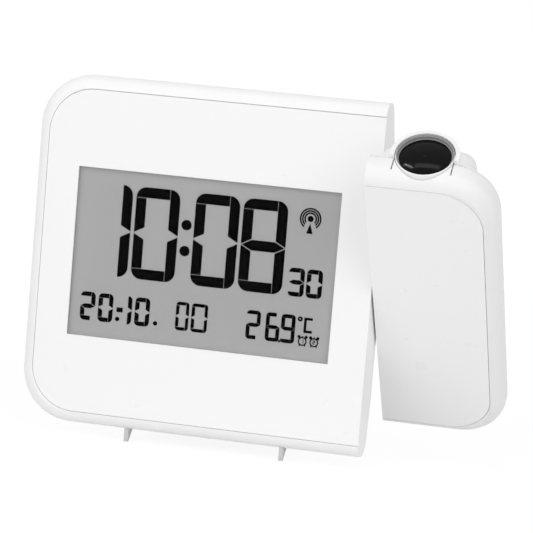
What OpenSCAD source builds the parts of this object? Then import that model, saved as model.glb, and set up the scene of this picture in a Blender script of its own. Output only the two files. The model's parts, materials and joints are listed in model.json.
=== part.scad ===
// Projection alarm clock: a display half on a fold-out stand, and a projector
// half of the same section that swivels on a hollow hub at the cut end.
//
// Working axes inside the modules: x = 0 is the cut end of the display half and
// the projector half lies at +x, y = 0 is the front face with +y to the back,
// z = 0 is half way up the casing. upright() and swung() carry the pieces to the
// part's own axes: z = 0 is the table, x and y are centred on the outline.

/* [Casing] */
// Width of the display half, from its rounded end to its cut end
body_w = 110.7; // [110:0.1:150]
// Width of the projector half, from its cut end to its rounded end
arm_w = 39.4; // [38:0.1:60]
// Height of the casing
case_h = 110.2; // [108:0.1:140]
// Play between the two cut ends
arm_gap = 0.6; // [0.4:0.1:1.5]
// Depth of the battery hump, front face to back
hump_d = 26; // [25:0.5:27]
// Depth of the slim lower part
slim_d = 14.6; // [14.4:0.1:16]
// Outer radius of the display half's corners
body_corner = 16.4; // [15:0.1:18]
// Outer radius of the projector half's corners
arm_corner = 15.6; // [15:0.1:18]
// Wall of the shells
wall = 2; // [1.6:0.1:2.4]
// Width of the rounded rim around the front panel
rim_w = 4.1; // [3.6:0.1:4.6]
// Radius of the rim's front edge
rim_r = 5.7; // [5.2:0.1:6.4]
// Radius of the rim's back edge
back_r = 6; // [5:0.5:7]
// Flat stretch on top of the rim
rim_flat = 1.5; // [1:0.5:3]
// Lean of the hump's sloping faces from upright
slope_a = 25.4; // [24:0.2:27]
// Radius of the hump's edges
hump_r = 6; // [4:0.5:8]
// Height of the hump's lower edge radius above mid-height
hump_low = -9; // [-9.5:0.5:-6]
// Angle of the hump's lower shoulder
shoulder_a = 60; // [50:1:70]
// Radius of the casing's lower back edge
heel_r = 5.2; // [4.6:0.1:5.6]
// Taper of the casing above that edge
taper_a = 8; // [6:0.5:10]

/* [Front panels] */
// Thickness of the front panels
panel_t = 1.4; // [1.2:0.1:1.6]
// Front wall of the shells behind the panels
front_wall = 1.6; // [1.2:0.1:2]
// Corner radius of the panels
panel_r = 14.1; // [12:0.1:15]
// Seam around the panels
seam = 0.15; // [0.1:0.05:0.4]
// Width of the display window
window_w = 84.4; // [70:0.2:86]
// Height of the display window
window_h = 53.2; // [45:0.2:56]
// Distance from the display half's middle to the window's middle, to the cut end
window_shift = 1.45; // [0:0.05:2.5]
// Thickness of the clear window
window_t = 0.9; // [0.6:0.1:1.1]

/* [Display and electronics] */
// Overlap of the display glass behind the panel
glass_over = 2; // [1.5:0.1:3]
// Thickness of the display glass
glass_t = 2.2; // [1.6:0.1:2.4]
// Thickness of the light guide
guide_t = 2.2; // [1.6:0.1:2.4]
// Thickness of the circuit boards
board_t = 1.2; // [0.8:0.1:1.4]
// Radius of the buzzer
buzzer_r = 6; // [5:0.5:6.5]
// Radius of the antenna's ferrite rod
ferrite_r = 2.4; // [2:0.1:2.6]
// Length of the ferrite rod
ferrite_l = 50; // [40:1:56]
// Thickness of the coil around the rod
coil_t = 0.6; // [0.4:0.1:0.7]
// Distance from the buzzer's middle to the cut end
buzzer_in = 17; // [16:0.5:18]
// Height of the buzzer's middle above the casing's lower edge
buzzer_up = 20.2; // [20:0.1:21]
// Distance from the inlet's middle to the rounded end
jack_in = 20.7; // [20:0.1:24]
// Height of the inlet's middle above the casing's lower edge
jack_up = 19.1; // [19:0.1:21]

/* [Batteries] */
// Radius of one cell
cell_r = 5.25; // [5:0.05:5.5]
// Length of one cell
cell_l = 44.5; // [43:0.5:46]
// Room at each end of the cells for the contacts
contact_room = 3.2; // [3:0.1:4]
// Distance from the compartment to the cut end
bay_in = 20; // [18:0.5:21]
// Height of the compartment's middle above mid-height
bay_z = 5; // [4:0.5:6]
// Thickness of the battery door
door_t = 1.8; // [1.4:0.1:2.2]

/* [Keys] */
// Length of the snooze key
snooze_l = 45; // [30:1:46]
// Distance from the snooze key to the cut end
snooze_in = 28.2; // [26:0.1:30]
// Travel of the snooze key
snooze_travel = 0.8; // [0.4:0.1:1]
// Radius of a setting key
key_r = 3; // [2.5:0.1:3.4]
// Distance between setting keys
key_step = 13; // [11:0.5:13.5]
// Travel of a setting key
key_travel = 0.6; // [0.3:0.1:0.6]
// Travel of the alarm slider
slider_travel = 3; // [2:0.5:3.5]
// Distance from the alarm slider's middle to the cut end
slider_in = 20; // [19:0.5:21]
// Height of the alarm slider's middle above the casing's lower edge
slider_up = 31.1; // [31:0.1:32]

/* [Stand and feet] */
// Height of the casing above the table
ground_gap = 3.9; // [3:0.1:6]
// Distance from the middle of the fold-out stand to the cut end
stand_mid = 50.7; // [50:0.1:51.5]
// Width of the stand
stand_w = 46; // [36:1:47]
// Length of the stand from its pin
stand_l = 27; // [24:0.5:27]
// Thickness of the stand
stand_t = 2.6; // [2:0.1:2.8]
// Radius of the stand's pin
stand_pin_r = 0.8; // [0.6:0.1:1]
// Thickness of a front foot
foot_t = 1.3; // [1:0.1:2]
// Distances of the two front feet from the cut end
foot_in = [75.05, 24.75];
// Depth of a front foot at the casing
foot_d = 7.3; // [6:0.1:8]

/* [Swivel] */
// Depth of the swivel axis behind the front face
pivot_y = 12; // [11.5:0.5:12.5]
// Forward tilt of the projector half as modelled
arm_tilt = 39; // [0:1:60]
// Outer radius of the hollow hub
hub_r = 4.6; // [4:0.1:5]
// Cable bore of the hub
hub_bore_r = 2.6; // [2:0.1:3]
// Running clearance on radius
running = 0.05; // [0.02:0.01:0.1]

/* [Projector] */
// Distance of the lens axis from the display half's cut end
lens_x = 17; // [16:0.1:18]
// Depth of the lens axis behind the front face
lens_y = 10.8; // [10.4:0.1:11.2]
// Outer radius of the focus ring
ring_r = 8.85; // [8.4:0.05:9]
// Clearance around the focus ring
ring_gap = 0.2; // [0.15:0.05:0.3]
// Wall of the collar behind the focus ring
collar_t = 1.4; // [1:0.1:1.8]
// Height of the collar above the casing
collar_up = 0.9; // [0.5:0.1:2]
// Height of the focus ring above the casing
ring_up = 0.3; // [0.1:0.1:1]
// Radius of the front lens
lens_r = 7.85; // [7:0.05:8]
// Depth of the front shell of the projector half
arm_split = 9; // [8.5:0.5:9.5]
// Half width of the lens hood
hood_w = 15.1; // [14:0.1:15.5]
// Corner radius of the lens hood
hood_r = 9.5; // [8:0.1:10]
// Outer radius of the optic tube
tube_r = 7.2; // [7:0.05:7.3]
// Travel of the rear lens each way from its middle
focus_travel = 0.8; // [0.4:0.1:1]

/* [Fasteners] */
// Core radius of the screws
screw_r = 0.9; // [0.8:0.1:1.1]
// Head radius of the screws
screw_head_r = 2; // [1.8:0.1:2.2]
// Outer radius of the screw bosses
boss_r = 2.8; // [2.5:0.1:3]
// Distances of the casing screws from the rounded end and from the cut end
case_screw_in = [11.5, 7.8];
// Distances of the casing screws from the casing's lower and upper edges
case_screw_up = [21.1, 14];
// Distances of the projector half's screws from its rounded end and its cut end
arm_screw_in = [8.4, 7.4];
// Distances of the projector half's screws from its lower and upper edges
arm_screw_up = [17.1, 25.1];

/* [Hidden] */
$fn = 64;

// colours
white = [0.95, 0.95, 0.95];
pale = [0.88, 0.89, 0.90];
grey = [0.66, 0.67, 0.68];
dark = [0.10, 0.10, 0.11];
green = [0.10, 0.35, 0.20];
metal = [0.75, 0.75, 0.77];
clear = [0.80, 0.86, 0.90, 0.4];
black = [0.03, 0.03, 0.03];

// the section of the casing: centres of its edge radii, as [depth, height]
top = case_h / 2;
rim_round = rim_w - 0.15;
rim_y = sqrt(2 * rim_r * rim_round - rim_round * rim_round);
front_c = [rim_y, top - rim_r];
back_c = [rim_y + rim_flat, top - back_r];
slope_n = [cos(slope_a), sin(slope_a)];
hump_y = hump_d - hump_r;
hump_c = [hump_y, (back_c * slope_n + back_r - hump_r - hump_y * slope_n[0]) / slope_n[1]];
low_c = [hump_y, hump_low];
low_n = [cos(shoulder_a), -sin(shoulder_a)];
heel_c = [rim_y + 2.2, heel_r - top];
heel_n = [cos(taper_a), -sin(taper_a)];
// where a face tangent to radius r about c, with outward normal n, reaches depth y
function face_z(c, n, r, y) = (c * n + r - y * n[0]) / n[1];
split_y = back_c[0] + back_r * slope_n[0] - 0.4;
inner_y = panel_t + front_wall;
// the edge radii stand this much proud of the faces, so that the two cross cleanly
proud = 0.001;
groove = 0.2;
groove_in = 0.35;

// display
window_x = window_shift - body_w / 2;
glass_y = panel_t + 0.1;
guide_y = glass_y + glass_t + 0.1;
board_y = guide_y + guide_t + 0.1;
board_back = board_y + board_t;
board_x0 = -body_w + 15.6;
board_x1 = -15;
board_h = case_h - 18.2;
post_pin = 0.6;
board_posts = [for (x = [board_x0 + 4, board_x1 - 4], z = [-1, 1]) [x, z * (board_h / 2 - 4)]];
strip_h = 2.4;

// screws of the display half, as [x, z], and of the projector half
case_screw_at = [for (x = [case_screw_in[0] - body_w, -case_screw_in[1]],
    z = [case_screw_up[0] - top, top - case_screw_up[1]]) [x, z]];
arm_screw_x = [arm_gap + arm_w - arm_screw_in[0], arm_gap + arm_screw_in[1]];
arm_screw_z = [arm_screw_up[0] - top, top - arm_screw_up[1]];
arm_screw_at = [[arm_screw_x[0], arm_screw_z[0]], [arm_screw_x[0], arm_screw_z[1]],
    [arm_screw_x[1], arm_screw_z[0]]];
screw_seat = 0.9;
screw_head_t = 0.9;

// battery compartment
bay_l = cell_l + 2 * contact_room;
bay_x0 = -bay_in - bay_l;
bay_h = 4 * cell_r + 3;
cell_y = hump_d - door_t - 0.4 - cell_r;
bay_y = cell_y - cell_r - 0.2;
bay_wall = 1.2;
door_x0 = bay_x0 - 2;
door_w = bay_l + 4;
door_top = bay_z + bay_h / 2 + 2;
slide_gap = 0.3;
door_y = hump_d - door_t;
tongue = 1;

// keys
snooze_y0 = rim_y - 0.1;
snooze_d = 6.2;
snooze_x = -snooze_in - snooze_l / 2;
snooze_switch_z = board_h / 2 - 2;
key_gap = 0.3;
key_n = 5;
key_z = top - 19;
key_x0 = -body_w / 2 - key_step * (key_n - 1) / 2;
key_y = back_c[0] + (back_r - (key_z - back_c[1]) * slope_n[1]) / slope_n[0];
key_up = 0.8;
key_plate = 7;
key_board_w = key_n * key_step + 4.4;
switch_h = 2;
slider_x = -slider_in;
slider_z = slider_up - top;
slider_w = 3.2;
jack_x = jack_in - body_w;
jack_z = jack_up - top;
buzzer_at = [-buzzer_in, buzzer_up - top];

// stand
floor_z = -top - ground_gap;
stand_y = slim_d - 3.6;
stand_z = 7.6 - top;
stand_off = 0.9;
knuckle_r = 1.6;
// how far the stand's sole lies from its pin, and the slope that sets it on the table
sole = stand_off + stand_t / 2;
stand_a = asin((stand_z - floor_z) / norm([stand_l, sole])) - atan(sole / stand_l);
nest_floor = stand_y - knuckle_r - 0.4;
nest_z = [stand_z - 3.4, stand_z + stand_l + 0.6];
nest_wall = 1.3;
nest_gap = 0.4;

// swivel
bush_r = hub_r + 1.8;
bush_l = 6;
bush_end = -wall - bush_l;
flange_t = 1.6;
clip_t = 1;

// projector
arm_x1 = arm_gap + arm_w;
ring_top = top + ring_up;
lip_t = 0.5;
lens_rim_z = ring_top - 0.8;
lens_t = 3.2;
dome_h = 1;
tube_bore = tube_r - 1;
tube_top = 40;
tube_low = -3;
skirt_low = 29;
sleeve_r = tube_bore - 1.1;
sleeve_low = 20;
sleeve_step = 27;
hood_top = top + 1.2;
hood_fall = 13.5;
slit_w = 0.4;
slit_y = 4;

// centring of the whole outline on the table, with the projector half swung
function swing_y(p) = pivot_y + (p[0] - pivot_y) * cos(arm_tilt) - p[1] * sin(arm_tilt);
front_reach = swing_y([lens_y - ring_r, ring_top]);
back_reach = swing_y(heel_c) + heel_r;
centre_x = (arm_x1 - body_w) / 2;
centre_y = (front_reach + back_reach) / 2;

module upright() translate([-centre_x, -centre_y, -floor_z]) children();
module swung() upright() translate([0, pivot_y, 0]) rotate([arm_tilt, 0, 0])
    translate([0, -pivot_y, 0]) children();
// turns a flat shape drawn in [depth, height] into a bar of length l along x
module along_x(l) rotate([90, 0, 90]) linear_extrude(l) children();
// turns a flat shape drawn in [x, height] into a plate from y = 0 to y = t
module plate_y(t) translate([0, t, 0]) rotate([90, 0, 0]) linear_extrude(t) children();
// a round bar along x, and one along y
module bar_x(r, l) rotate([0, 90, 0]) cylinder(r = r, h = l);
module bar_y(r, l) rotate([-90, 0, 0]) cylinder(r = r, h = l);
// a box given by its ranges on x, y and z
module box(x, y, z) translate([x[0], y[0], z[0]]) cube([x[1] - x[0], y[1] - y[0], z[1] - z[0]]);

// upper outline of the section, inset by w, from the front edge to the hump
function upper(w) = [[0, front_c[1]], [rim_y, top - w], [back_c[0], top - w],
    back_c + (back_r - w) * slope_n, hump_c + (hump_r - w) * slope_n, [hump_d - w, hump_c[1]]];

// the whole section, as [depth, height], inset by w and cut off in front of y0
module end_profile(w, y0) difference() {
    union() {
        polygon(concat([[0, -front_c[1]]], upper(w), [[hump_d - w, low_c[1]], low_c,
            low_c + (hump_r - w) * low_n,
            [slim_d - w, face_z(low_c, low_n, hump_r - w, slim_d - w)],
            [slim_d - w, face_z(heel_c, heel_n, heel_r - w, slim_d - w)],
            heel_c + (heel_r - w) * heel_n, [heel_c[0], w - top], [rim_y, w - top]]));
        for (c = [[front_c, rim_r], [[rim_y, -front_c[1]], rim_r], [back_c, back_r],
            [hump_c, hump_r], [low_c, hump_r], [heel_c, heel_r]])
            translate(c[0]) circle(c[1] - w + proud);
    }
    translate([y0 - hump_d, -case_h]) square([hump_d, 2 * case_h]);
}

// the same edge seen along the rounded end, drawn as [distance outward, depth]
// from a line that lies z0 above mid-height
module edge_profile(w, z0, y0) intersection() {
    translate([0, y0]) square([case_h, hump_d]);
    union() {
        polygon(concat([for (p = upper(w)) [p[1] - z0, p[0]]],
            [[-case_h, hump_d - w], [-case_h, 0]]));
        for (c = [[front_c, rim_r], [back_c, back_r], [hump_c, hump_r]])
            translate([c[0][1] - z0, c[0][0]]) circle(c[1] - w + proud);
    }
}

// one half of the casing as a solid inset by w, with corner radius r: cut end at
// x = 0, less end_w, and rounded end at -l
module casing(l, r, w, y0, end_w) intersection() {
    translate([-l - 1, 0, 0]) along_x(l + 1 - end_w) end_profile(w, y0);
    union() {
        difference() {
            translate([0, 0, -top]) linear_extrude(case_h) intersection() {
                translate([-l, 0]) square([l - end_w, 2 * hump_d]);
                translate([-l + top, 0]) mirror([1, 0]) edge_profile_wide(w, y0);
            }
            for (z = [-top - 1, top - r])
                translate([-l - 1, -1, z]) cube([r + 1, hump_d + 2, r + 1]);
        }
        for (a = [90, 180]) translate([r - l, 0, a == 180 ? top - r : r - top])
            rotate([-90, 0, 0]) rotate([0, 0, a]) rotate_extrude(angle = 90)
                edge_profile(w, top - r, y0);
    }
}
// the edge profile carried on to the far side of the hump
module edge_profile_wide(w, y0) union() {
    edge_profile(w, 0, y0);
    translate([-case_h, y0]) square([case_h + 1, hump_d - w - y0]);
}

// outline of a front panel, grown by g, in [x, height]
module panel_outline(l, g) {
    x0 = -l + rim_w - g;
    h = top - rim_w + g;
    r = panel_r + g;
    translate([x0 + r, -h]) square([-x0 - r, 2 * h]);
    translate([x0, r - h]) square([r + 1, 2 * (h - r)]);
    for (s = [-1, 1]) translate([x0 + r, s * (h - r)]) circle(r);
}

// places things on the hump's upper slope: local z points out of it
module on_slope(x) translate([x, key_y, key_z]) rotate([slope_a - 90, 0, 0]) children();
module key_places() for (i = [0 : key_n - 1]) on_slope(key_x0 + i * key_step) children();

module front_panel() color(white) plate_y(panel_t) difference() {
    panel_outline(body_w, -seam);
    translate([window_x - window_w / 2, -window_h / 2]) square([window_w, window_h]);
}

module display_window() color(clear)
    translate([window_x - window_w / 2 + 0.05, panel_t - window_t - 0.2, 0.05 - window_h / 2])
        cube([window_w - 0.1, window_t, window_h - 0.1]);

module lcd_glass() color(grey)
    translate([window_x - window_w / 2 - glass_over, glass_y, -window_h / 2 - glass_over])
        cube([window_w + 2 * glass_over, glass_t, window_h + 2 * glass_over]);

module light_guide() color(clear)
    translate([window_x - window_w / 2, guide_y, -window_h / 2 + strip_h])
        cube([window_w, guide_t, window_h - strip_h]);

module contact_strip() color(dark)
    translate([window_x - window_w / 2, guide_y, -window_h / 2 - 0.6])
        cube([window_w, guide_t, strip_h]);

module main_board() color(green) difference() {
    box([board_x0, board_x1], [board_y, board_back], [-board_h / 2, board_h / 2]);
    for (p = board_posts) translate([p[0], board_y - 1, p[1]]) bar_y(1.2, board_t + 2);
}

module board_parts() color(dark) {
    // chips, each as [left edge, lower edge, width, height, thickness], and the crystal
    for (c = [[window_x - 8.1, board_h / 2 - 22, 12, 12, 1.6], [board_x0 + 7.1, 10, 8, 10, 1.4],
        [board_x1 - 25, -8, 8, 6, 1.8]])
        box([c[0], c[0] + c[2]], [board_back, board_back + c[4]], [c[1], c[1] + c[3]]);
    translate([board_x0 + 5.1, board_back, -12]) bar_y(2.2, 2.2);
    // snooze switch on the board's upper edge, and the slide switch below
    box([snooze_x - 3, snooze_x + 3], [board_back, board_back + 4],
        [snooze_switch_z - 6, snooze_switch_z]);
    box([slider_x - 5, slider_x + 4], [board_back, split_y - 1.1], [slider_z - 2, slider_z + 2]);
}

module key_board() {
    color(green) on_slope(-body_w / 2)
        translate([-key_board_w / 2, -4, -key_plate - board_t]) difference() {
            cube([key_board_w, 8, board_t]);
            for (x = [2, key_board_w - 2]) translate([x, 4, -1]) cylinder(r = 0.9, h = board_t + 2);
        }
    color(dark) key_places() translate([-2.5, -2.5, -key_plate - 0.1]) cube([5, 5, switch_h + 0.1]);
}

module buzzer() color(dark) difference() {
    translate([buzzer_at[0], board_back, buzzer_at[1]]) bar_y(buzzer_r, 3);
    translate([buzzer_at[0], board_back + 2, buzzer_at[1]]) bar_y(1, 2);
}

antenna_x = -body_w + wall + 4.2;
antenna_y = inner_y + 3.6;
module antenna() color(dark) {
    translate([antenna_x, antenna_y, -ferrite_l / 2]) cylinder(r = ferrite_r, h = ferrite_l);
    translate([antenna_x, antenna_y, -11]) cylinder(r = ferrite_r + coil_t, h = 22);
}

// posts that take the screws, with their pilot holes cut later
module bosses(places, y1) for (p = places)
    translate([p[0], panel_t + 0.2, p[1]]) bar_y(boss_r, y1 - panel_t - 0.2);
module pilots(places, y1) for (p = places)
    translate([p[0], panel_t + 1.4, p[1]]) bar_y(screw_r + 0.02, y1 - panel_t);
module screw_ways(places, y1) for (p = places) translate([p[0], y1 - 0.5, p[1]]) {
    bar_y(screw_r + 0.3, 4);
    translate([0, 0.5 + screw_seat, 0]) bar_y(screw_head_r + 0.25, hump_d);
}
module screw_tubes(places, y1) for (p = places)
    translate([p[0], y1, p[1]]) bar_y(screw_head_r + 1.3, hump_d);
module screws(places, y1) color(metal) for (p = places)
    translate([p[0], y1 + screw_seat, p[1]]) difference() {
        union() {
            bar_y(screw_head_r, screw_head_t);
            translate([0, -6.8, 0]) bar_y(screw_r, 7);
        }
        for (a = [0, 90]) rotate([0, a, 0])
            translate([-1.3, screw_head_t - 0.4, -0.25]) cube([2.6, 1, 0.5]);
    }

module snooze_block(g, z0) box([snooze_x - snooze_l / 2 + g, snooze_x + snooze_l / 2 - g],
    [snooze_y0 + g, snooze_y0 + snooze_d - g], [z0, top + 1]);

module foot_blank(g) for (x = foot_in) translate([-x - foot_t / 2 - g, 0, 0])
    along_x(foot_t + 2 * g) polygon([[3 - g, wall - top], [3 + foot_d + g, wall - top],
        [3 + foot_d + g, 1.2 - top], [4, floor_z], [3 - g, floor_z]]);

module case_front() color(white) difference() {
    union() {
        difference() {
            casing(body_w, body_corner, 0, 0, 0);
            casing(body_w, body_corner, wall, inner_y, wall);
            box([-body_w - 1, -wall], [split_y, 2 * hump_d], [-case_h, case_h]);
        }
        bosses(case_screw_at, split_y);
        // cradles for the antenna
        for (z = [-1, 1]) box([antenna_x - 2, antenna_x + 2],
            [inner_y - 0.1, antenna_y - ferrite_r - 0.05], [z * 20 - 2, z * 20 + 2]);
        // posts and pins for the main board
        for (p = board_posts) translate([p[0], inner_y - 0.1, p[1]]) {
            bar_y(2.2, board_y - inner_y + 0.1);
            bar_y(1.1, board_back - inner_y + 0.1 + post_pin);
        }
    }
    translate([0, -1, 0]) plate_y(panel_t + 1) panel_outline(body_w, 0);
    // the display glass drops into the front wall
    box([window_x - window_w / 2 - glass_over - 0.1, window_x + window_w / 2 + glass_over + 0.1],
        [0, inner_y + 1], [-window_h / 2 - glass_over - 0.1, window_h / 2 + glass_over + 0.1]);
    pilots(case_screw_at, split_y);
    snooze_block(0, top - wall - 1.1 - snooze_travel);
    translate([-wall - 1, pivot_y, 0]) bar_x(bush_r, wall + 2);
    foot_blank(0.02);
    nest_block(nest_wall + 0.1);
}

// the nest that the stand folds into, and the compartment of the cells, as blocks
module nest_block(g) box([-stand_mid - stand_w / 2 - nest_gap - g, -stand_mid + stand_w / 2 + nest_gap + g],
    [nest_floor - g, slim_d + 1], [nest_z[0] - g, nest_z[1] + g]);
module bay_block(g) box([bay_x0 - g, bay_x0 + bay_l + g], [bay_y - g, hump_d + g],
    [bay_z - bay_h / 2 - g, bay_z + bay_h / 2 + g]);
// the battery door as a block with its two tongues
module door_block(g) {
    box([door_x0 - g, door_x0 + door_w + g], [door_y - g, hump_d + 1],
        [low_c[1] - hump_r - 1, door_top + g]);
    box([door_x0 - tongue - g, door_x0 + door_w + tongue + g], [door_y - g, door_y + 0.8 + g],
        [low_c[1] + (g > 0 ? -hump_r - 1 : 1.5), door_top - 3 + g]);
}

module case_back() color(white) difference() {
    union() {
        difference() {
            casing(body_w, body_corner, 0, 0, wall);
            casing(body_w, body_corner, wall, inner_y, wall);
            box([-body_w - 1, 1], [-1, split_y], [-case_h, case_h]);
        }
        intersection() {
            casing(body_w, body_corner, 0.2, inner_y, wall);
            union() {
                nest_block(nest_wall);
                bay_block(bay_wall);
                // floor and sides of the battery door's slide
                box([door_x0 - 2.6, door_x0 + door_w + 2.6], [door_y - slide_gap - 1.2, hump_d],
                    [low_c[1] - hump_r, door_top + 2.6]);
                // posts and pins for the key board
                on_slope(-body_w / 2) for (s = [-1, 1]) translate([s * (key_board_w / 2 - 2), 0, 0]) {
                    translate([0, 0, -key_plate]) cylinder(r = 1.9, h = key_plate);
                    translate([0, 0, -key_plate - board_t - 0.6]) cylinder(r = 0.85, h = key_plate);
                }
                // tubes around the screws
                screw_tubes(case_screw_at, split_y);
            }
        }
    }
    nest_block(0);
    translate([-stand_mid - stand_w / 2 - 1.7, stand_y, stand_z]) bar_x(stand_pin_r + 0.02, stand_w + 3.4);
    box([bay_x0, bay_x0 + bay_l], [bay_y, hump_d + 1], [bay_z - bay_h / 2, bay_z + bay_h / 2]);
    door_block(slide_gap);
    key_places() translate([0, 0, -wall - 3]) cylinder(r = key_r + key_gap, h = wall + 6);
    screw_ways(case_screw_at, split_y);
    // socket, alarm slider and sound slots in the slim part
    translate([jack_x, split_y - 2, jack_z]) bar_y(4.2, 6);
    box([slider_x - slider_w / 2 - key_gap, slider_x + slider_w / 2 + slider_travel + key_gap],
        [split_y - 1, slim_d + 1], [slider_z - 1.3, slider_z + 1.3]);
    for (i = [-2 : 2]) box([buzzer_at[0] - 4.5, buzzer_at[0] + 4.5], [split_y - 1, slim_d + 1],
        [buzzer_at[1] + 2.4 * i - 0.6, buzzer_at[1] + 2.4 * i + 0.6]);
}

// places things at the middle of the two cells, which lie head to tail
module cell_places() for (a = [0, 180])
    translate([bay_x0 + bay_l / 2, cell_y, bay_z + (a - 90) / 90 * (cell_r + 0.4)])
        rotate([0, 0, a]) children();

module battery_cells() color(metal) cell_places() translate([-cell_l / 2, 0, 0]) {
    bar_x(cell_r, cell_l - 1);
    bar_x(1.9, cell_l);
}

// a plate with a spring cone at the flat end, and one with a stud at the other
module battery_contacts() color(metal) cell_places() {
    translate([0.1 - bay_l / 2, -4, -4]) cube([0.5, 8, 8]);
    translate([0.5 - bay_l / 2, 0, 0]) rotate([0, 90, 0])
        cylinder(r1 = 3.6, r2 = 2.2, h = contact_room - 0.52);
    translate([bay_l / 2 - 0.6, -4, -4]) cube([0.5, 8, 8]);
    translate([cell_l / 2 + 0.02, 0, 0]) bar_x(1.6, contact_room - 0.5);
}

module dc_jack() color(dark) difference() {
    union() {
        box([jack_x - 4.5, jack_x + 4.5], [board_back, split_y - 0.1], [jack_z - 4.5, jack_z + 4.5]);
        translate([jack_x, board_back + 1, jack_z]) bar_y(4, slim_d - board_back - 1.4);
    }
    difference() {
        translate([jack_x, board_back + 1.5, jack_z]) bar_y(2.85, 10);
        translate([jack_x, board_back + 1, jack_z]) bar_y(1, slim_d - board_back - 2.4);
    }
}

module front_feet() color(grey) foot_blank(0);

module stand_pin() color(metal) translate([-stand_mid - stand_w / 2 - 1.6, stand_y, stand_z])
    bar_x(stand_pin_r, stand_w + 3.2);

module pivot_bush() color(pale) translate([bush_end, pivot_y, 0]) difference() {
    union() {
        bar_x(bush_r - 0.02, bush_l + wall);
        bar_x(bush_r + 2, bush_l);
    }
    translate([-1, 0, 0]) bar_x(hub_r + running, bush_l + wall + 2);
}

module case_screws() screws(case_screw_at, split_y);

module battery_door() color(white) difference() {
    union() {
        intersection() {
            casing(body_w, body_corner, 0, 0, 0);
            door_block(0);
        }
        box([door_x0 + 1, door_x0 + door_w - 1], [door_y, door_y + 1], [low_c[1] - 2.5, low_c[1] + 2]);
    }
    // thumb grip
    for (i = [0 : 4]) translate([door_x0 + door_w / 2 - 5, hump_d, low_c[1] + 4 + 1.8 * i])
        bar_x(0.45, 10);
}

module snooze_key() color(white) {
    intersection() {
        casing(body_w, body_corner, 0, 0, 0);
        snooze_block(0.25, top - wall - 1);
    }
    // flange that keeps the key in, and the plunger over its switch
    intersection() {
        casing(body_w, body_corner, wall + 0.1, inner_y, wall);
        box([snooze_x - snooze_l / 2 - 1, snooze_x + snooze_l / 2 + 1],
            [snooze_y0 - 0.6, snooze_y0 + snooze_d + 0.3], [top - wall - 1.2, top]);
    }
    box([snooze_x - 2.5, snooze_x + 2.5], [board_back + 0.5, board_back + 1.9],
        [snooze_switch_z + snooze_travel + 0.1, top - wall - 1]);
}

module setting_key(i) color(pale) on_slope(key_x0 + (i - 1) * key_step) {
    translate([0, 0, -wall - 1]) cylinder(r = key_r, h = wall + 1 + key_up);
    translate([0, 0, -wall - 1]) cylinder(r = key_r + 0.9, h = 0.9);
    translate([0, 0, switch_h + key_travel + 0.1 - key_plate]) cylinder(r = 1.5, h = 3);
}

module alarm_slider() color(dark) {
    box([slider_x - slider_w / 2, slider_x + slider_w / 2], [split_y - 0.6, slim_d + 1],
        [slider_z - 1, slider_z + 1]);
    box([slider_x - 5, slider_x + 5], [split_y - 1, slim_d - wall - 0.1],
        [slider_z - 2, slider_z + 2]);
}

module stand_leg() color(white) translate([-stand_mid, stand_y, stand_z])
    rotate([-stand_a, 0, 0]) difference() {
    union() {
        translate([-stand_w / 2, 0, 0]) bar_x(knuckle_r, stand_w);
        translate([0, 0, -sole]) {
            translate([-stand_w / 2, 0, 0]) cube([stand_w, stand_l - 3, stand_t]);
            translate([3 - stand_w / 2, stand_l - 3.5, 0]) cube([stand_w - 6, 3.5, stand_t]);
            for (s = [-1, 1]) translate([s * (stand_w / 2 - 3), stand_l - 3, 0])
                cylinder(r = 3, h = stand_t);
        }
    }
    translate([-stand_w, 0, 0]) bar_x(stand_pin_r + running, 2 * stand_w);
    translate([5 - stand_w / 2, 6, -sole - 1]) cube([stand_w - 10, stand_l - 13, stand_t - 0.2]);
}

// ---- projector half, in the pose flush with the display half ----
module arm_form(w, y0, end_w) translate([arm_gap, 0, 0]) mirror([1, 0, 0])
    casing(arm_w, arm_corner, w, y0, end_w);
module lens_axis() translate([lens_x, lens_y, 0]) children();

// hump behind the lens, inset by w; its lower end runs out inside the casing
module hood(w) hull() {
    $fn = 48;
    for (s = [-1, 1]) {
        translate([lens_x + s * (hood_w - hood_r), arm_split, hood_top - hood_r])
            bar_y(hood_r - w, hood_fall - arm_split - w / 2);
        translate([lens_x + s * (hood_w - 8), hump_d - w - 0.7, hood_top - 17.1]) bar_y(5 - w, 0.7);
    }
    box([lens_x - 12 + w, lens_x + 9 - w], [arm_split, 14 - w], [12 + w, 24]);
    box([4 + w, 10 - w], [arm_split, hump_d - 1.5 - w], [6 + w, 12]);
}

// walls across the projector half that hold the optic tube
module bulkheads() for (z = [8, 33]) box([0, arm_x1 + 1], [inner_y - 0.1, hump_d], [z, z + 2.5]);
module tube_way() lens_axis() translate([0, 0, tube_low - 1]) cylinder(r = tube_r + 0.02, h = 80);

module arm_panel() color(white) translate([arm_gap, 0, 0]) mirror([1, 0, 0])
    plate_y(panel_t) panel_outline(arm_w, -seam);

module arm_front() color(white) difference() {
    union() {
        difference() {
            arm_form(0, 0, 0);
            arm_form(wall, inner_y, wall);
            box([0, arm_x1 + 1], [arm_split, 2 * hump_d], [-case_h, case_h]);
        }
        bosses(arm_screw_at, arm_split);
        intersection() {
            arm_form(0.2, inner_y - 0.1, 0.2);
            bulkheads();
            box([0, arm_x1 + 1], [0, arm_split], [0, case_h]);
        }
    }
    tube_way();
    translate([arm_gap, -1, 0]) mirror([1, 0, 0]) plate_y(panel_t + 1) panel_outline(arm_w, 0);
    pilots(arm_screw_at, arm_split);
    lens_axis() translate([0, 0, tube_top]) cylinder(r = ring_r + ring_gap, h = case_h);
    for (s = [-1, 1]) translate([lens_x + s * (ring_r + 0.05) - slit_w / 2, slit_y, top - 8])
        cube([slit_w, arm_split, 20]);
    translate([0, pivot_y, 0]) bar_x(hub_r, 5);
}

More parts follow.
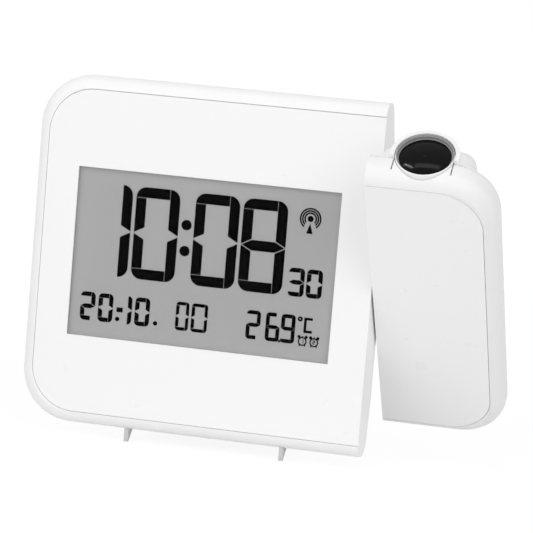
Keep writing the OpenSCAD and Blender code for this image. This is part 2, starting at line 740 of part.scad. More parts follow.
module arm_back() color(white) difference() {
    union() {
        difference() {
            union() {
                arm_form(0, 0, 0);
                hood(0);
            }
            arm_form(wall, inner_y, wall);
            hood(wall);
        }
        // collar behind the focus ring
        lens_axis() translate([0, 0, tube_top + 3])
            cylinder(r = ring_r + ring_gap + collar_t, h = top + collar_up - tube_top - 3);
        intersection() {
            union() {
                arm_form(0.2, inner_y, 0.2);
                hood(0.2);
            }
            union() {
                bulkheads();
                screw_tubes(arm_screw_at, arm_split);
            }
        }
    }
    box([0, arm_x1 + 1], [-hump_d, arm_split], [-case_h, case_h]);
    lens_axis() translate([0, 0, tube_top]) cylinder(r = ring_r + ring_gap, h = case_h);
    tube_way();
    screw_ways(arm_screw_at, arm_split);
    translate([0, pivot_y, 0]) bar_x(hub_r, 5);
    // groove that shows where the shells part
    difference() {
        box([0, arm_x1 + 1], [arm_split - 1, arm_split + groove], [-case_h, case_h]);
        arm_form(groove_in, 0, groove_in);
    }
}

module swivel_hub() color(pale) translate([0, pivot_y, 0]) difference() {
    union() {
        translate([bush_end - clip_t - 0.9, 0, 0])
            bar_x(hub_r - 0.02, arm_gap + wall + flange_t / 2 - bush_end + clip_t + 0.9);
        translate([arm_gap + wall, 0, 0]) bar_x(hub_r + 2, flange_t);
    }
    translate([bush_end - 5, 0, 0]) bar_x(hub_bore_r, 30);
    // groove for the clip
    translate([bush_end - clip_t - 0.2, 0, 0]) difference() {
        bar_x(hub_r + 1, clip_t);
        translate([-1, 0, 0]) bar_x(hub_r - 0.8, clip_t + 2);
    }
}

module hub_clip() color(metal) translate([bush_end - clip_t - 0.15, pivot_y, 0]) difference() {
    bar_x(hub_r + 2.2, clip_t - 0.1);
    translate([-1, 0, 0]) bar_x(hub_r - 0.75, clip_t + 2);
    translate([-1, -2.6, -hub_r - 4]) cube([3, 5.2, hub_r + 4]);
}

module optic_tube() color(dark) lens_axis() difference() {
    translate([0, 0, tube_low]) cylinder(r = tube_r, h = tube_top - tube_low);
    translate([0, 0, tube_low - 1]) cylinder(r = tube_bore, h = tube_top - tube_low + 2);
    // slot that keeps the lens sleeve from turning
    translate([-0.7, 4, sleeve_low + 3 - 0.7 - focus_travel]) cube([1.4, 8, 1.4 + 2 * focus_travel]);
}

module lamp_board() color(green) lens_axis() translate([-5.5, -5.5, tube_low - board_t - 0.05])
    cube([11, 11, board_t]);

module lamp_led() color(clear) lens_axis() translate([0, 0, tube_low]) {
    cylinder(r = 2.5, h = 3);
    translate([0, 0, 3]) sphere(2.5);
}

module condenser_lens() color(clear) lens_axis() translate([0, 0, 8]) intersection() {
    cylinder(r = tube_bore - 0.02, h = 6);
    translate([0, 0, -8]) sphere(12);
}

module image_lcd() color(dark) lens_axis() translate([0, 0, 15]) difference() {
    cylinder(r = tube_bore - 0.02, h = 1.6);
    translate([-3.5, -3, 1]) cube([7, 6, 2]);
}

module arm_screws() screws(arm_screw_at, arm_split);

module focus_ring() color(white) lens_axis() difference() {
    union() {
        translate([0, 0, tube_top + 0.4]) cylinder(r = ring_r, h = ring_top - tube_top - 0.4);
        translate([0, 0, skirt_low]) cylinder(r = tube_bore - running, h = tube_top - skirt_low + 1);
    }
    translate([0, 0, skirt_low - 1]) cylinder(r = sleeve_r + running, h = 11);
    translate([0, 0, skirt_low]) cylinder(r = tube_bore - 1.4, h = case_h);
    translate([0, 0, lens_rim_z - lens_t]) cylinder(r = lens_r + 0.02, h = case_h);
    translate([0, 0, lens_rim_z]) cylinder(r = ring_r - lip_t, h = case_h);
}

module lens_sleeve() color(dark) lens_axis() difference() {
    union() {
        translate([0, 0, sleeve_low]) cylinder(r = tube_bore - running, h = sleeve_step - sleeve_low);
        translate([0, 0, sleeve_low]) cylinder(r = sleeve_r, h = 17);
        translate([0, tube_bore - 0.8, sleeve_low + 3]) bar_y(0.6, 1.5);
    }
    translate([0, 0, sleeve_low - 1]) cylinder(r = sleeve_r - 1.2, h = 20);
}

dome_r = (lens_r * lens_r + dome_h * dome_h) / (2 * dome_h);
module front_lens() color(black) lens_axis() intersection() {
    translate([0, 0, lens_rim_z - lens_t]) cylinder(r = lens_r, h = lens_t + dome_h + 1);
    translate([0, 0, lens_rim_z + dome_h - dome_r]) sphere(dome_r);
}

module rear_lens() color(clear) lens_axis() intersection() {
    translate([0, 0, sleeve_low + 2]) cylinder(r = sleeve_r - 1.22, h = 4);
    translate([0, 0, sleeve_low - 4]) sphere(10);
}

upright() front_panel();
upright() display_window();
upright() lcd_glass();
upright() light_guide();
upright() contact_strip();
upright() main_board();
upright() board_parts();
upright() key_board();
upright() buzzer();
upright() antenna();
upright() case_front();
upright() case_back();
upright() battery_cells();
upright() battery_contacts();
upright() dc_jack();
upright() front_feet();
upright() stand_pin();
upright() pivot_bush();
upright() case_screws();
upright() battery_door();
upright() snooze_key();
upright() setting_key(1);  // setting_key_1
upright() setting_key(2);  // setting_key_2
upright() setting_key(3);  // setting_key_3
upright() setting_key(4);  // setting_key_4
upright() setting_key(5);  // setting_key_5
upright() alarm_slider();
upright() stand_leg();
swung() arm_panel();
swung() arm_front();
swung() arm_back();
swung() swivel_hub();
swung() hub_clip();
swung() optic_tube();
swung() lamp_board();
swung() lamp_led();
swung() condenser_lens();
swung() image_lcd();
swung() arm_screws();
swung() focus_ring();
swung() front_lens();
swung() lens_sleeve();
swung() rear_lens();
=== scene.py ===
"""A projection alarm clock: its finishes, display figures, key marks, lamps and camera.

Lengths are in metres in the frame of the CAD model. What is drawn on the display is
given in millimetres from the middle of the display, and a key's mark in millimetres
from the middle of the key.
"""
import json
import math

import bmesh
import bpy
from mathutils import Matrix, Vector


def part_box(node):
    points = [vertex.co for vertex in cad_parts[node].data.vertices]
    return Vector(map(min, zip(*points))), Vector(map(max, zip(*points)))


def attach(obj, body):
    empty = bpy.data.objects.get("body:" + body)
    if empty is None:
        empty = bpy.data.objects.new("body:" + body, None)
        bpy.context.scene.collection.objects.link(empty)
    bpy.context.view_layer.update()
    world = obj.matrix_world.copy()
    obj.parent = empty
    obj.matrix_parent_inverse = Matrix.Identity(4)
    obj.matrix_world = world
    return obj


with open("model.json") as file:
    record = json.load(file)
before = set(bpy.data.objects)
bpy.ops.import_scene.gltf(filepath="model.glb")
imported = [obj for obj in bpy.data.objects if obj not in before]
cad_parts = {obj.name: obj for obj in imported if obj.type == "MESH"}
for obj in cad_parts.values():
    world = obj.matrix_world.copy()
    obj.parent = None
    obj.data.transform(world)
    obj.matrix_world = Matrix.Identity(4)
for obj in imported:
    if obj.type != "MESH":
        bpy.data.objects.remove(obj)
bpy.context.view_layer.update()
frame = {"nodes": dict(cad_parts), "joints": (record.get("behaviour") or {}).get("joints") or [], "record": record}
scene = bpy.context.scene
nodes = frame["nodes"]
joints = {joint["name"]: joint for joint in frame["joints"]}
MM = 0.001
ACROSS = Vector((1, 0, 0))


# ---------------------------------------------------------------- materials

NOISE_SPAN = (0.2, 0.8)
PLAIN_WHITE = (1, 1, 1)


def linear(level):
    """A grey from 0 to 255, as a picture shows it, as a linear colour."""
    value = level / 255
    value = value / 12.92 if value <= 0.04045 else ((value + 0.055) / 1.055) ** 2.4
    return (value, value, value)


def scaled(colour, factor):
    """A colour made lighter or darker, with an alpha of 1."""
    return tuple(min(1.0, channel * factor) for channel in colour) + (1.0,)


class Finish:
    """A material with a principled shader, whose details read the piece's own coordinates."""

    def __init__(self, name, colour, roughness, specular=0.5):
        self.material = bpy.data.materials.new(name)
        self.material.use_nodes = True
        self.tree = self.material.node_tree
        self.tree.nodes.clear()
        self.shader = self.add("ShaderNodeBsdfPrincipled")
        self.output = self.add("ShaderNodeOutputMaterial")
        self.link(self.shader.outputs["BSDF"], self.output.inputs["Surface"])
        self.shader.inputs["Base Color"].default_value = scaled(colour, 1)
        self.shader.inputs["Roughness"].default_value = roughness
        self.shader.inputs["Specular IOR Level"].default_value = specular
        self.place = self.add("ShaderNodeTexCoord").outputs["Object"]
        self.colour = colour
        self.roughness = roughness

    def add(self, kind):
        return self.tree.nodes.new(kind)

    def link(self, source, target):
        self.tree.links.new(source, target)

    def noise(self, size, detail=3.0):
        """Noise with features of about that size in metres."""
        node = self.add("ShaderNodeTexNoise")
        node.inputs["Scale"].default_value = 1 / size
        node.inputs["Detail"].default_value = detail
        self.link(self.place, node.inputs["Vector"])
        return node.outputs["Fac"]

    def spread(self, source, low, high, span=NOISE_SPAN):
        """Carries a value that runs over the span to the range from low to high."""
        node = self.add("ShaderNodeMapRange")
        node.inputs["From Min"].default_value = span[0]
        node.inputs["From Max"].default_value = span[1]
        node.inputs["To Min"].default_value = low
        node.inputs["To Max"].default_value = high
        self.link(source, node.inputs["Value"])
        return node.outputs["Result"]

    def colour_mix(self, factor):
        """A mix by a factor, from the colour of its input A to that of its input B."""
        mix = self.add("ShaderNodeMix")
        mix.data_type = "RGBA"
        self.link(factor, mix.inputs["Factor"])
        return mix

    def mix_surface(self, factor, first, second):
        """Makes the surface a mix by a factor, from the first shader to the second."""
        mix = self.add("ShaderNodeMixShader")
        self.link(factor, mix.inputs["Fac"])
        self.link(first, mix.inputs[1])
        self.link(second, mix.inputs[2])
        self.link(mix.outputs["Shader"], self.output.inputs["Surface"])

    def clouded(self, size, amount):
        """The colour varies a little over distances of that size."""
        mix = self.colour_mix(self.spread(self.noise(size), 0, 1))
        mix.inputs["A"].default_value = scaled(self.colour, 1 - amount)
        mix.inputs["B"].default_value = scaled(self.colour, 1 + amount)
        self.link(mix.outputs["Result"], self.shader.inputs["Base Color"])
        return self

    def rubbed(self, size, amount):
        """The gloss varies a little over distances of that size."""
        value = self.spread(self.noise(size), self.roughness - amount, self.roughness + amount)
        self.link(value, self.shader.inputs["Roughness"])
        return self

    def grained(self, size, depth):
        """A fine surface grain of that size and depth."""
        return self.raised(self.noise(size, detail=2.0), depth)

    def raised(self, source, depth):
        """A relief of that depth, which follows the source."""
        bump = self.add("ShaderNodeBump")
        bump.inputs["Strength"].default_value = 1.0
        bump.inputs["Distance"].default_value = depth
        self.link(source, bump.inputs["Height"])
        self.link(bump.outputs["Normal"], self.shader.inputs["Normal"])
        return self

    def metal(self):
        self.shader.inputs["Metallic"].default_value = 1.0
        return self

    def multiplied(self, first, second):
        """The product of two values."""
        node = self.add("ShaderNodeMath")
        node.operation = "MULTIPLY"
        self.link(first, node.inputs[0])
        self.link(second, node.inputs[1])
        return node.outputs["Value"]

    def compared(self, operation, source, limit):
        """1 where the operation holds for the source and the limit, and 0 elsewhere."""
        node = self.add("ShaderNodeMath")
        node.operation = operation
        node.inputs[1].default_value = limit
        self.link(source, node.inputs[0])
        return node.outputs["Value"]

    def measured(self, operation, source, other=(0, 0, 0)):
        """What a vector operation gives for the source and a fixed vector: a number for a
        dot product or a length, and else a vector."""
        node = self.add("ShaderNodeVectorMath")
        node.operation = operation
        node.inputs[1].default_value = other
        self.link(source, node.inputs[0])
        return node.outputs["Value" if operation in ("DOT_PRODUCT", "LENGTH") else "Vector"]

    def painted_bore_shade(self, middle, axis, radius, level):
        """Painted shade in a bore: another grey for what lies above middle along the axis,
        and no further than radius from it."""
        arm = self.measured("SUBTRACT", self.place, middle)
        away = self.measured("LENGTH", self.measured("CROSS_PRODUCT", arm, axis))
        inside = self.compared("LESS_THAN", away, radius)
        above = self.compared("GREATER_THAN", self.measured("DOT_PRODUCT", arm, axis), 0)
        mix = self.colour_mix(self.multiplied(inside, above))
        mix.inputs["B"].default_value = scaled(linear(level), 1)
        base = self.shader.inputs["Base Color"]
        self.link(base.links[0].from_socket, mix.inputs["A"])
        self.link(mix.outputs["Result"], base)
        return self


def moulded(name, level, roughness, grain, depth, specular=0.5, bore_shade=None):
    """Moulded plastic of a grey level: faint flow clouds, rubbed gloss and a fine grain of
    that depth. The last argument gives a bore's middle, axis, radius and its painted shade's grey."""
    finish = Finish(name, linear(level), roughness, specular)
    finish.clouded(size=60 * MM, amount=0.003).rubbed(size=9 * MM, amount=0.04)
    finish.grained(grain, depth)
    if bore_shade:
        finish.painted_bore_shade(*bore_shade)
    return finish.material


def shell_white(name, level, bore_shade=None):
    """The matt white of the casing's shells."""
    return moulded(name, level, 0.42, 0.35 * MM, 0.003 * MM, 0.4, bore_shade)


def panel_white(name, level):
    """The smoother white of the front panels."""
    return moulded(name, level, 0.3, 0.5 * MM, 0.001 * MM, 0.4)


def metal(name, level, roughness, grain):
    """Metal of a grey level, a little clouded and rubbed, with a fine grain."""
    finish = Finish(name, linear(level), roughness).metal()
    finish.clouded(size=6 * MM, amount=0.05).rubbed(size=3 * MM, amount=0.06)
    finish.grained(grain, 0.002 * MM)
    return finish.material


def clear(name, ior, roughness):
    """Clear plastic that lets the light straight through and reflects by its angle."""
    finish = Finish(name, PLAIN_WHITE, roughness)
    through = finish.add("ShaderNodeBsdfTransparent")
    gloss = finish.add("ShaderNodeBsdfGlossy")
    gloss.inputs["Roughness"].default_value = roughness
    fresnel = finish.add("ShaderNodeFresnel")
    fresnel.inputs["IOR"].default_value = ior
    finish.mix_surface(fresnel.outputs["Fac"], through.outputs["BSDF"], gloss.outputs["BSDF"])
    return finish.material


def display_film(level):
    """The grey film of the liquid-crystal glass, with a faint vertical grain."""
    finish = Finish("display_film", linear(level), roughness=0.5, specular=0.15)
    finish.clouded(size=40 * MM, amount=0.01)
    stretch = finish.add("ShaderNodeMapping")
    stretch.inputs["Scale"].default_value = (1, 1, 0.05)
    finish.link(finish.place, stretch.inputs["Vector"])
    finish.place = stretch.outputs["Vector"]
    finish.grained(0.4 * MM, 0.001 * MM)
    return finish.material


def lens_glass(name, level):
    """A coated lens over a dark tube: nearly black, with a faint sharp gloss."""
    finish = Finish(name, linear(level), roughness=0.08, specular=0.06)
    finish.clouded(size=5 * MM, amount=0.1).rubbed(size=4 * MM, amount=0.02)
    return finish.material


def circuit_board():
    """Green solder resist, with lighter tracks in it as bands that noise bends."""
    resist = (0.012, 0.11, 0.045)
    track = (0.03, 0.22, 0.09)
    finish = Finish("circuit_board", resist, roughness=0.35)
    bands = finish.add("ShaderNodeTexWave")
    bands.inputs["Scale"].default_value = 120
    bands.inputs["Distortion"].default_value = 6
    finish.link(finish.place, bands.inputs["Vector"])
    ramp = finish.add("ShaderNodeValToRGB")
    for stop, position, colour in zip(ramp.color_ramp.elements, (0.72, 0.76), (resist, track)):
        stop.position = position
        stop.color = scaled(colour, 1)
    finish.link(bands.outputs["Fac"], ramp.inputs["Fac"])
    finish.link(ramp.outputs["Color"], finish.shader.inputs["Base Color"])
    finish.raised(bands.outputs["Fac"], 0.01 * MM)
    return finish.material


# Painted shade in the lens bore: its shaded inner walls are painted grey up to a white rim
# on the focus ring, which is wider at its front than at its back. A rim below zero is
# painted shade that reaches past the ring there.
RING_BORE_SHADE = 150
RING_RIM_FRONT = 0.55 * MM
RING_RIM_BACK = -0.3 * MM
HOOD_BORE_SHADE = 215
HOOD_RIM = -0.23 * MM
focus_middle = Vector(joints["focus_turn"]["pos_m"])
focus_axis = Vector(joints["focus_turn"]["axis"]).normalized()
toward_front = ACROSS.cross(focus_axis)
ring_low, ring_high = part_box("focus_ring")
ring_radius = (ring_high.x - ring_low.x) / 2


def bore_shade_for(rim_front, rim_back, level):
    """The painted shade of the lens bore, as the finish takes it: it leaves a rim of those
    widths inside the focus ring's edge, at its front and at its back."""
    middle = focus_middle - toward_front * (rim_front - rim_back) / 2
    return (middle, focus_axis, ring_radius - (rim_front + rim_back) / 2, level)


# Painted shade: grey on the focus ring's top and on the hood's bore wall, where the bore lies in shade.
ring_shade = bore_shade_for(RING_RIM_FRONT, RING_RIM_BACK, RING_BORE_SHADE)
hood_shade = bore_shade_for(HOOD_RIM, HOOD_RIM, HOOD_BORE_SHADE)

# Both halves are white. The projector half's shells are painted 3 levels darker as painted
# shade, and its panel 4 levels lighter as painted light. moulded takes a name, a grey level,
# the roughness, the grain's size and its depth, and the specular level where it isn't 0.5.
WHITE = 249
# Painted shade: the projector half's shell white, 3 levels under the display half's.
ARM_SHADED_WHITE = WHITE - 3
finishes = {
    "white_plastic": shell_white("white_plastic", WHITE),
    "front_white": panel_white("front_white", WHITE + 1),
    "ring_white_bore_shade": shell_white("ring_white_bore_shade", WHITE, ring_shade),
    "arm_shaded_white": shell_white("arm_shaded_white", ARM_SHADED_WHITE),
    "hood_shaded_white": shell_white("hood_shaded_white", ARM_SHADED_WHITE, hood_shade),
    # Painted light: the projector half's panel white, 4 levels over the display half's.
    "arm_panel_lit_white": panel_white("arm_panel_lit_white", WHITE + 4),
    "pale_plastic": moulded("pale_plastic", 236, 0.45, 0.35 * MM, 0.003 * MM, 0.4),
    "grey_plastic": moulded("grey_plastic", 205, 0.5, 0.35 * MM, 0.004 * MM, 0.4),
    "dark_plastic": moulded("dark_plastic", 38, 0.5, 0.3 * MM, 0.004 * MM),
    "strip_rubber": moulded("strip_rubber", 200, 0.7, 0.2 * MM, 0.006 * MM),
    "cell_case": moulded("cell_case", 150, 0.3, 0.5 * MM, 0.002 * MM),
    "ferrite": moulded("ferrite", 60, 0.6, 0.3 * MM, 0.01 * MM),
    "ink": moulded("ink", 6, 0.6, 0.2 * MM, 0.001 * MM, 0.0),
    "mark": moulded("mark", 150, 0.6, 0.2 * MM, 0.001 * MM, 0.2),
    "board": circuit_board(),
    "clear_plastic": clear("clear_plastic", ior=1.1, roughness=0.03),
    "display_glass": display_film(180),
    "front_lens_glass": lens_glass("front_lens_glass", 14),
    "lens_glass": lens_glass("lens_glass", 60),
    "steel": metal("steel", 205, roughness=0.3, grain=0.3 * MM),
}
# The nodes whose finish differs from what their slot names.
own_finish = {
    "front_panel": "front_white",
    "focus_ring": "ring_white_bore_shade",
    "arm_front": "arm_shaded_white",
    "arm_back": "hood_shaded_white",
    "arm_panel": "arm_panel_lit_white",
}


def dress(node, finish_name):
    """Gives a CAD node the finish, in place of its own materials."""
    mesh = nodes[node].data
    mesh.materials.clear()
    mesh.materials.append(finishes[finish_name])


for part in frame["record"]["subparts"]:
    node = part["node"]
    dress(node, own_finish.get(node, part["material_slot"]))


# ---------------------------------------------------------------- thin plates and outlines

def slabs(name, outlines, place, thickness, finish_name, body):
    """Thin plates with the given outlines. place puts an outline's point and a lift
    in space."""
    mesh = bmesh.new()
    for outline in outlines:
        top = [mesh.verts.new(place(x, z, thickness)) for x, z in outline]
        base = [mesh.verts.new(place(x, z, 0)) for x, z in outline]
        mesh.faces.new(top)
        mesh.faces.new(base[::-1])
        for i in range(len(outline)):
            mesh.faces.new((top[i - 1], base[i - 1], base[i], top[i]))
    bmesh.ops.recalc_face_normals(mesh, faces=mesh.faces)
    data = bpy.data.meshes.new(name)
    mesh.to_mesh(data)
    mesh.free()
    piece = bpy.data.objects.new(name, data)
    scene.collection.objects.link(piece)
    data.materials.append(finishes[finish_name])
    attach(piece, body)


def arc(x, z, radius, start, stop, steps=12):
    """Points on an arc about x, z, from one angle to another in degrees."""
    angles = [math.radians(start + (stop - start) * i / steps) for i in range(steps + 1)]
    return [(x + radius * math.cos(a), z + radius * math.sin(a)) for a in angles]


def band(x, z, radius, width, start, stop, steps=24):
    """A curved stripe, as an outline."""
    outer = arc(x, z, radius + width / 2, start, stop, steps)
    inner = arc(x, z, radius - width / 2, stop, start, steps)
    return outer + inner


def ring(x, z, radius, width):
    """A closed ring, as the outlines of its two halves."""
    return [band(x, z, radius, width, 0, 180), band(x, z, radius, width, 180, 360)]


def disc(x, z, radius):
    """A disc, as an outline of 24 points."""
    return arc(x, z, radius, 0, 345, 23)


def bar(x0, x1, z0, z1):
    """A rectangle, as an outline."""
    return [(x0, z0), (x1, z0), (x1, z1), (x0, z1)]


# ---------------------------------------------------------------- display figures

INK_THICKNESS = 0.06 * MM
LIT = {0: "abcdef", 1: "bc", 2: "abged", 3: "abgcd", 6: "afgedc", 8: "abcdefg", 9: "abcdfg"}
SLOPE = 0.53
CORNER_START = 84
glass_low, glass_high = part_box("lcd_glass")
display_middle = (glass_low + glass_high) / 2


def on_display(x, z, lift):
    """A point drawn at x, z mm from the display's middle, lifted off its glass."""
    return Vector((display_middle.x + x * MM, glass_low.y - lift, display_middle.z + z * MM))


def draw(name, outlines):
    """Prints outlines on the display's glass."""
    slabs(name, outlines, on_display, INK_THICKNESS, "ink", "display_half")


def figure(number, x, z, wide, high, stroke, gap):
    """Outlines of the lit segments of a seven-segment figure, lower left corner at x, z.

    The segments have their usual letters: a at the top, b to f clockwise from it, and g
    across the middle. SLOPE is that of their slanted ends beside g.
    """
    middle = high / 2
    tip = 0.6 * gap + 0.05 * stroke
    shoulder = tip + 0.5 * stroke / SLOPE
    cut = middle + 1.2 * gap
    inner_cut = cut + SLOPE * stroke
    top = high - stroke
    side = wide - stroke
    a_end = side - gap / 2
    b_edge = side + gap / 2
    segment_a = arc(stroke, top, stroke, 180, 90) + [(a_end, high), (a_end, top)]
    segment_b = [(b_edge, high)] + arc(side, top, stroke, CORNER_START, 0)
    segment_b += [(wide, cut), (b_edge, inner_cut)]
    segment_f = [(0, top - gap), (stroke, top - gap), (stroke, inner_cut), (0, cut)]
    segment_g = [(tip, middle), (shoulder, middle + stroke / 2),
                 (wide - shoulder, middle + stroke / 2), (wide - tip, middle),
                 (wide - shoulder, middle - stroke / 2), (shoulder, middle - stroke / 2)]

    def lower(segment):
        """The segment's mirror image in the figure's other half."""
        return [(px, high - pz) for px, pz in segment]

    shapes = {"a": segment_a, "b": segment_b, "f": segment_f, "g": segment_g,
              "d": lower(segment_a), "c": lower(segment_b), "e": lower(segment_f)}
    return [[(x + px, z + pz) for px, pz in shapes[lit]] for lit in LIT[number]]


def row_of_figures(numbers, places, z, wide, high, stroke, gap):
    """Figures in a row, each with its left edge at its place."""
    outlines = []
    for number, x in zip(numbers, places):
        outlines += figure(number, x, z, wide, high, stroke, gap)
    return outlines


def time_figures():
    """Hours and minutes, with the colon's two dots between them."""
    figures = row_of_figures((1, 0, 0, 8), (-38.6, -23.25, -4.0, 11.3),
                             z=-7.03, wide=14.2, high=29.0, stroke=3.3, gap=0.13)
    return figures + [disc(-6.47, z, 1.65) for z in (11.5, 3.35)]


def seconds_figures():
    return row_of_figures((3, 0), (27.4, 33.1),
                          z=-6.95, wide=5.0, high=8.9, stroke=1.4, gap=0.1)


def date_figures():
    """Two pairs of figures, with a dash between them and a dot behind each pair."""
    figures = row_of_figures((2, 0, 1, 0), (-38.8, -32.95, -26.75, -20.95),
                             z=-21.7, wide=4.8, high=9.0, stroke=1.4, gap=0.1)
    dash = bar(-26.9, -24.9, -18.1, -16.6)
    return figures + [dash] + [disc(x, -20.3, 0.7) for x in (-26.5, -14.1)]


def weekday_figures():
    """Two plain figures in the weekday's field, the second one wider."""
    outlines = []
    for x, wide in ((-7.65, 4.2), (-2.6, 5.2)):
        outlines += figure(0, x, z=-21.6, wide=wide, high=9.0, stroke=1.05, gap=0.1)
    return outlines


def temperature_figures():
    """The temperature, with its point, its degree ring and its unit's letter."""
    figures = row_of_figures((2, 6, 9), (15.1, 21.3, 26.2),
                             z=-21.7, wide=4.5, high=9.0, stroke=1.2, gap=0.03)
    point = disc(26.0, -21.4, 0.42)
    letter = [bar(33.4, 34.2, -17.9, -13.1), bar(34.2, 36.1, -13.9, -13.1),
              bar(34.2, 36.1, -17.9, -17.1)]
    return figures + [point] + ring(32.1, -13.7, 0.52, 0.55) + letter


def radio_sign(x, z):
    """A radio mast: a disc at x, z on a pointed foot, with three arcs around it."""
    foot = [(x - 1.1, z - 4.6), (x + 1.0, z - 4.6), (x, z - 1.5)]
    arcs = [band(x, z, radius, 0.48, -42 - 6 * i, 222 + 6 * i)
            for i, radius in enumerate((1.78, 2.48, 3.18))]
    return [disc(x, z, 0.95), foot] + arcs


def alarm_sign(x, z, number):
    """A small alarm clock with two bells, two legs and a plain figure in it."""
    sign = ring(x, z, 1.2, 0.4)
    for side in (-1, 1):
        leg = x + side * 0.85
        sign.append(disc(x + side * 1.15, z + 1.4, 0.5))
        sign.append(bar(leg - 0.18, leg + 0.18, z - 1.6, z - 1.0))
    sign.append(bar(x - 0.2, x + 0.2, z + 1.2, z + 1.7))
    return sign + figure(number, x - 0.45, z - 0.65, wide=0.85, high=1.35, stroke=0.3, gap=0.02)


draw("time_figures", time_figures())
draw("seconds_figures", seconds_figures())
draw("date_figures", date_figures())
draw("weekday_figures", weekday_figures())
draw("temperature_figures", temperature_figures())
draw("radio_sign", radio_sign(32.7, 17.5))
draw("alarm_signs", alarm_sign(33.3, -20.6, 1) + alarm_sign(37.0, -20.6, 2))


# ---------------------------------------------------------------- marks on the setting keys

MARK_THICKNESS = 0.05 * MM
FLATNESS = 0.02 * MM


def key_place(node):
    """Gives a function that places points on the flat top of a setting key."""
    outward = -Vector(joints[f"{node}_press"]["axis"]).normalized()
    rising = outward.cross(ACROSS).normalized()
    if rising.z < 0:
        rising = -rising
    points = [vertex.co for vertex in nodes[node].data.vertices]
    reach = max(point.dot(outward) for point in points)
    crown = [point for point in points if reach - point.dot(outward) < FLATNESS]
    middle = sum(crown, Vector()) / len(crown)

    def place(x, z, lift):
        return middle - ACROSS * x * MM + rising * z * MM + outward * lift
    return place


# In the order of the keys: up, down, a ring, plus and two lines.
KEY_MARKS = [
    [[(-1.1, -0.7), (1.1, -0.7), (0, 1.1)]],
    [[(-1.1, 0.7), (0, -1.1), (1.1, 0.7)]],
    ring(0, 0, 1.0, 0.35),
    [bar(-1.1, 1.1, -0.2, 0.2), bar(-0.2, 0.2, 0.2, 1.1), bar(-0.2, 0.2, -1.1, -0.2)],
    [bar(-1.1, 1.1, 0.4, 0.8), bar(-1.1, 1.1, -0.8, -0.4)],
]
for number, outlines in enumerate(KEY_MARKS, 1):
    key = f"setting_key_{number}"
    slabs(f"key_mark_{number}", outlines, key_place(key), MARK_THICKNESS, "mark", key)


# ---------------------------------------------------------------- floor, light and camera

FLOOR_REACH = 4.0
# The floor shows its own white, a little over plain white. It makes up this share of its
# look near the clock, and all of it from the end of the fade on.
FLOOR_GLOW = 1.05
GLOW_SHARE_NEAR = 0.86
GLOW_FADE = (0.2, 0.8)
WORLD_LIGHT = 0.48
CASE_MIDDLE = (0, 0, 0.06)
LENS_LAMP_SIDE = (0.75, -0.51, -0.42)


def background_rays(tree):
    """1 for the rays that show a background: the camera's own, and those that a glossy or
    clear piece sends on."""
    ray = tree.nodes.new("ShaderNodeLightPath")
    seen = ray.outputs["Is Camera Ray"]
    for kind in ("Is Glossy Ray", "Is Transmission Ray"):
        either = tree.nodes.new("ShaderNodeMath")
        either.operation = "MAXIMUM"
        tree.links.new(seen, either.inputs[0])
        tree.links.new(ray.outputs[kind], either.inputs[1])
        seen = either.outputs["Value"]
    return seen


def plain_floor():
    """A white floor that keeps a faint soft shadow near the clock and shows as white."""
    finish = Finish("floor_white", linear(248), roughness=0.9, specular=0.0)
    glow = finish.add("ShaderNodeEmission")
    glow.inputs["Strength"].default_value = FLOOR_GLOW
    distance = finish.measured("LENGTH", finish.place)
    share = finish.spread(distance, GLOW_SHARE_NEAR, 1.0, GLOW_FADE)
    finish.mix_surface(finish.multiplied(background_rays(finish.tree), share),
                       finish.shader.outputs["BSDF"], glow.outputs["Emission"])
    data = bpy.data.meshes.new("floor")
    corners = [(x * FLOOR_REACH, y * FLOOR_REACH, 0)
               for x, y in ((-1, -1), (1, -1), (1, 1), (-1, 1))]
    data.from_pydata(corners, [], [(0, 1, 2, 3)])
    data.materials.append(finish.material)
    floor = bpy.data.objects.new("floor", data)
    scene.collection.objects.link(floor)


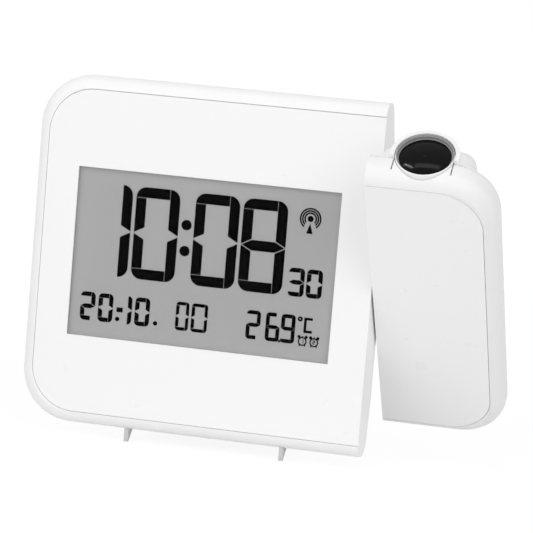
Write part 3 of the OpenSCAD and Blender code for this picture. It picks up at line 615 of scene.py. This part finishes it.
def plain_world(level):
    """A white surrounding to look at, and an even light of the given level."""
    world = bpy.data.worlds.new("studio")
    world.use_nodes = True
    scene.world = world
    tree = world.node_tree
    tree.nodes.clear()
    background = tree.nodes.new("ShaderNodeBackground")
    background.inputs["Color"].default_value = scaled(PLAIN_WHITE, 1)
    output = tree.nodes.new("ShaderNodeOutputWorld")
    strength = tree.nodes.new("ShaderNodeMapRange")
    strength.inputs["To Min"].default_value = level
    strength.inputs["To Max"].default_value = 1.0
    tree.links.new(background_rays(tree), strength.inputs["Value"])
    tree.links.new(strength.outputs["Result"], background.inputs["Strength"])
    tree.links.new(background.outputs["Background"], output.inputs["Surface"])


def area_lamp(name, place, length, width, power):
    """A rectangular area lamp at a place, not yet turned."""
    lamp = bpy.data.lights.new(name, "AREA")
    lamp.shape = "RECTANGLE"
    lamp.size = length
    lamp.size_y = width
    lamp.energy = power
    piece = bpy.data.objects.new(name, lamp)
    piece.location = place
    scene.collection.objects.link(piece)
    return piece


def soft_lamp(name, place, aim, size, power):
    """A square area lamp at a place, facing a point."""
    piece = area_lamp(name, place, size, size, power)
    piece.rotation_euler = (Vector(aim) - Vector(place)).to_track_quat("-Z", "Y").to_euler()


def strip_lamp(name, place, aim, along, length, width, power):
    """A narrow area lamp, with its long side as near to a direction as can be."""
    piece = area_lamp(name, place, length, width, power)
    back = (Vector(place) - Vector(aim)).normalized()
    side = (Vector(along) - back * back.dot(Vector(along))).normalized()
    piece.rotation_euler = Matrix((side, back.cross(side), back)).transposed().to_euler()


plain_floor()
plain_world(WORLD_LIGHT)
soft_lamp("left_lamp", (-0.9, -1.3, 0.9), CASE_MIDDLE, size=1.4, power=8.0)
soft_lamp("right_lamp", (1.1, -1.3, 0.9), CASE_MIDDLE, size=1.4, power=10.1)
strip_lamp("lens_lamp", (-0.394, -0.169, 1.2), focus_middle, LENS_LAMP_SIDE,
           length=0.22, width=0.03, power=0.85)
strip_lamp("lens_glow", (-0.06, -0.2, 1.27), focus_middle, ACROSS,
           length=0.46, width=0.12, power=0.75)

# The camera's place and turn were fitted to the corners of the clock in the picture.
CAMERA_PLACE = (0.1952, -0.8454, 0.1609)
CAMERA_TURN = (83.322, -4.730, 13.544)
camera = bpy.data.cameras.new("camera")
camera.sensor_width = 36
camera.lens = 189.47
camera.clip_end = 20
camera_piece = bpy.data.objects.new("camera", camera)
camera_piece.location = CAMERA_PLACE
camera_piece.rotation_euler = [math.radians(turn) for turn in CAMERA_TURN]
scene.collection.objects.link(camera_piece)
scene.camera = camera_piece
scene.view_settings.view_transform = "Standard"
